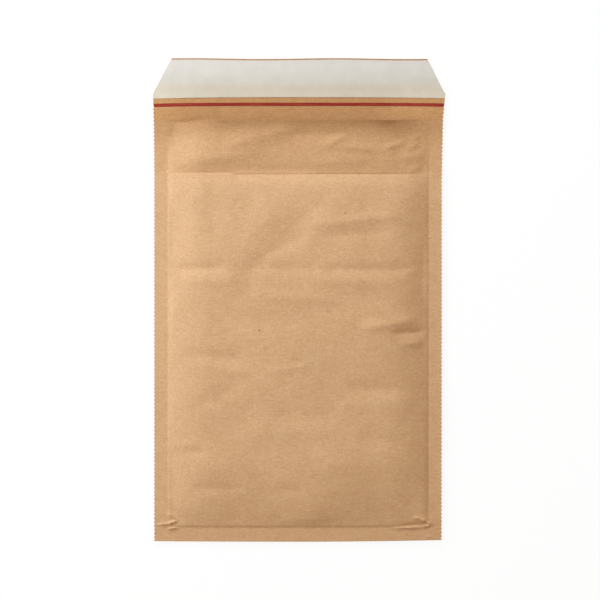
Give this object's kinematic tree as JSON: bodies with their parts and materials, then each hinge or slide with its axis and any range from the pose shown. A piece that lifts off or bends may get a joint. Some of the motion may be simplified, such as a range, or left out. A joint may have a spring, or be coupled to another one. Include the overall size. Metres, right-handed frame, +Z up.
{
  "type": "padded envelope",
  "caption": "Kraft paper mailing envelope padded with bubble film, lying on its back with the flap open, a tear tape and an adhesive strip under its release liner.",
  "frame": {"origin": "middle of the outline, on the surface that the back panel lies on", "axes": "+Z up out of the front panel, +Y along the envelope from the bottom fold to the tip of the open flap, +X across it, to the right in the picture"},
  "size_m": [0.2426, 0.401, 0.0135],
  "materials": {
    "kraft_paper": "matte",
    "bubble_film": "gloss",
    "tear_tape_film": "satin",
    "hot_melt_adhesive": "gloss",
    "release_paper": "satin"
  },
  "bodies": {
    "root": {"kraft_cover": "kraft_paper", "bubble_liner": "bubble_film", "tear_tape": "tear_tape_film", "adhesive_strip": "hot_melt_adhesive", "release_liner": "release_paper"}
  },
  "joints": []
}
